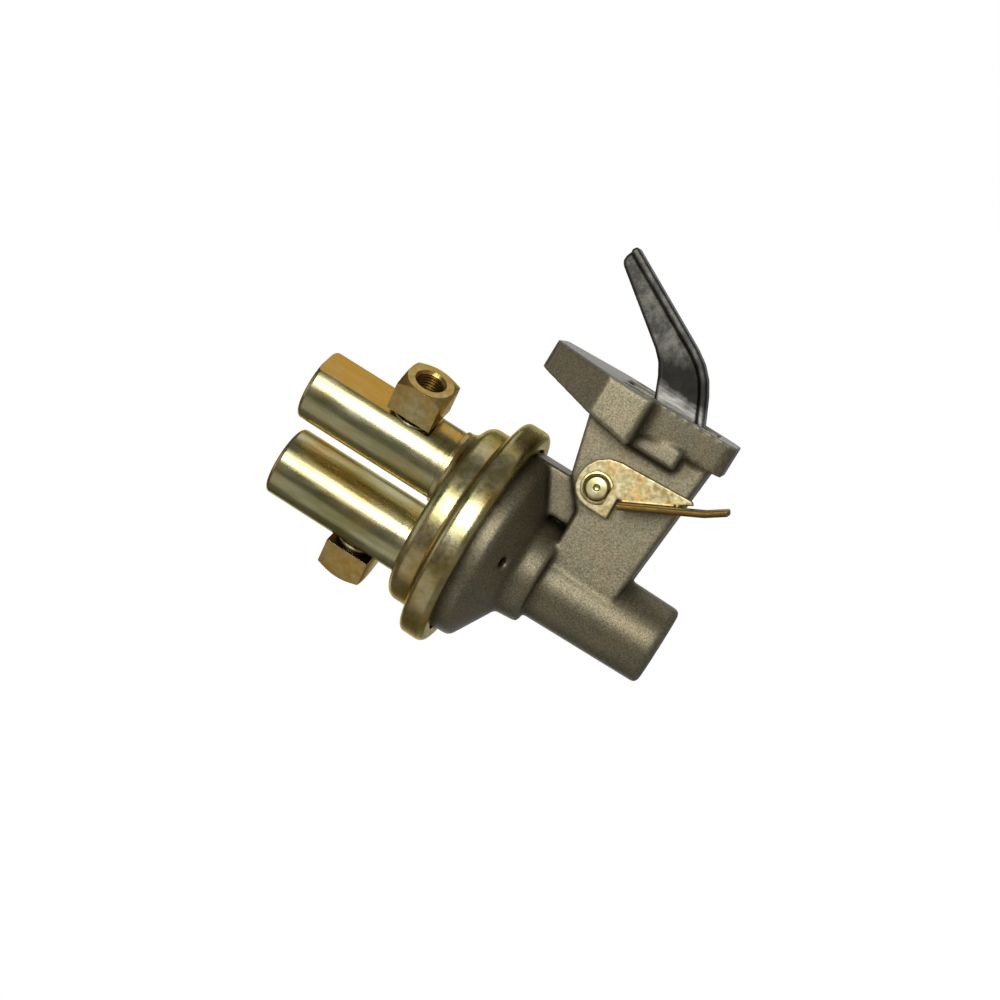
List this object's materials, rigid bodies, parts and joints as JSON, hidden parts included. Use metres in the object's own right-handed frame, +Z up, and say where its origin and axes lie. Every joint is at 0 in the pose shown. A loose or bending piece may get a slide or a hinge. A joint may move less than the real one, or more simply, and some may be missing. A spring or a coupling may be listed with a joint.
{
  "type": "diaphragm fuel transfer pump",
  "caption": "Engine driven diaphragm fuel pump with a rocker arm, a flanged cast body, a hand primer lever and upright canisters with square ports.",
  "frame": {"origin": "on the mounting face, midway between the two bolt holes' planes, level with the lower edge of the crimped rim", "axes": "+X out of the mounting face along the rocker arm, +Z up along the pump's axis through the canisters, -Y the side of the primer lever"},
  "size_m": [0.1885, 0.1024, 0.1789],
  "materials": {
    "arm_bushing": "plain bronze",
    "arm_return_spring": "oiled spring steel",
    "body_casting": "shot blasted and zinc dipped",
    "cover_gasket": "matt",
    "diaphragm": "fabric reinforced",
    "diaphragm_lower_plate": "yellow zinc",
    "diaphragm_spring": "oiled spring steel",
    "diaphragm_upper_plate": "yellow zinc",
    "fuel_cover": "yellow zinc, glossy",
    "inlet_canister": "yellow zinc, glossy",
    "inlet_fitting": "yellow zinc, glossy",
    "inlet_fitting_washer": "yellow zinc",
    "inlet_valve_flap": "matt",
    "inlet_valve_seat": "turned",
    "inlet_valve_spring": "plain",
    "inlet_valve_stem": "turned",
    "outlet_canister": "yellow zinc, glossy",
    "outlet_fitting": "yellow zinc, glossy",
    "outlet_fitting_washer": "yellow zinc",
    "outlet_valve_flap": "matt",
    "outlet_valve_seat": "turned",
    "outlet_valve_spring": "plain",
    "outlet_valve_stem": "turned",
    "pin_spacer_far": "plain",
    "pin_spacer_near": "plain",
    "primer_lever": "yellow zinc, rough",
    "primer_return_spring": "oiled spring steel",
    "primer_shaft": "yellow zinc",
    "pull_rod": "ground",
    "rocker_arm": "forged, rim ground bright",
    "rocker_link": "forged",
    "rocker_pin": "ground",
    "rod_nut": "yellow zinc",
    "rod_oil_seal": "matt",
    "seal_retainer": "plain",
    "shaft_seal_ring": "matt",
    "spring_seat": "plain",
    "valve_body": "machined"
  },
  "bodies": {
    "housing": {"body_casting": "body_casting", "fuel_cover": "fuel_cover", "cover_gasket": "cover_gasket", "valve_body": "valve_body", "diaphragm": "diaphragm", "diaphragm_spring": "diaphragm_spring", "inlet_canister": "inlet_canister", "inlet_fitting": "inlet_fitting", "inlet_fitting_washer": "inlet_fitting_washer", "inlet_valve_seat": "inlet_valve_seat", "inlet_valve_spring": "inlet_valve_spring", "inlet_valve_stem": "inlet_valve_stem", "outlet_canister": "outlet_canister", "outlet_fitting": "outlet_fitting", "outlet_fitting_washer": "outlet_fitting_washer", "outlet_valve_seat": "outlet_valve_seat", "outlet_valve_spring": "outlet_valve_spring", "outlet_valve_stem": "outlet_valve_stem", "rod_oil_seal": "rod_oil_seal", "seal_retainer": "seal_retainer", "rocker_pin": "rocker_pin", "pin_spacer_near": "pin_spacer_near", "pin_spacer_far": "pin_spacer_far", "arm_return_spring": "arm_return_spring", "primer_return_spring": "primer_return_spring"},
    "arm": {"rocker_arm": "rocker_arm", "arm_bushing": "arm_bushing"},
    "link": {"rocker_link": "rocker_link"},
    "rod": {"pull_rod": "pull_rod", "rod_nut": "rod_nut", "diaphragm_upper_plate": "diaphragm_upper_plate", "diaphragm_lower_plate": "diaphragm_lower_plate", "spring_seat": "spring_seat"},
    "primer": {"primer_shaft": "primer_shaft", "primer_lever": "primer_lever", "shaft_seal_ring": "shaft_seal_ring"},
    "inlet_flap": {"inlet_valve_flap": "inlet_valve_flap"},
    "outlet_flap": {"outlet_valve_flap": "outlet_valve_flap"}
  },
  "joints": [
    {"name": "arm_swing", "type": "hinge", "parent": "housing", "child": "arm", "pos_m": [-0.034, 0, -0.0445], "axis": [0, -1, 0], "range_deg": [0, 8], "stiffness_Nm_per_rad": 3, "springref_deg": -8.59, "deforming": ["arm_return_spring"]},
    {"name": "link_swing", "type": "hinge", "parent": "housing", "child": "link", "pos_m": [-0.034, 0, -0.0445], "axis": [0, -1, 0], "range_deg": [0, 8]},
    {"name": "rod_slide", "type": "slide", "parent": "housing", "child": "rod", "axis": [0, 0, -1], "range_m": [0, 0.0076], "deforming": ["diaphragm", "diaphragm_spring"]},
    {"name": "primer_turn", "type": "hinge", "parent": "housing", "child": "primer", "pos_m": [-0.0426, 0, -0.0297], "axis": [0, 1, 0], "range_deg": [0, 40], "stiffness_Nm_per_rad": 0.3, "springref_deg": -17.19},
    {"name": "inlet_valve_lift", "type": "slide", "parent": "housing", "child": "inlet_flap", "axis": [0, 0, -1], "range_m": [0, 0.001], "stiffness_N_per_m": 40, "springref_m": -0.001, "deforming": ["inlet_valve_spring"]},
    {"name": "outlet_valve_lift", "type": "slide", "parent": "housing", "child": "outlet_flap", "axis": [0, 0, 1], "range_m": [0, 0.001], "stiffness_N_per_m": 40, "springref_m": -0.001, "deforming": ["outlet_valve_spring"]}
  ],
  "couplings": [
    {"joint": "link_swing", "follows": "arm_swing", "ratio": 1},
    {"joint": "rod_slide", "follows": "arm_swing", "m_per_rad": 0.0538}
  ]
}
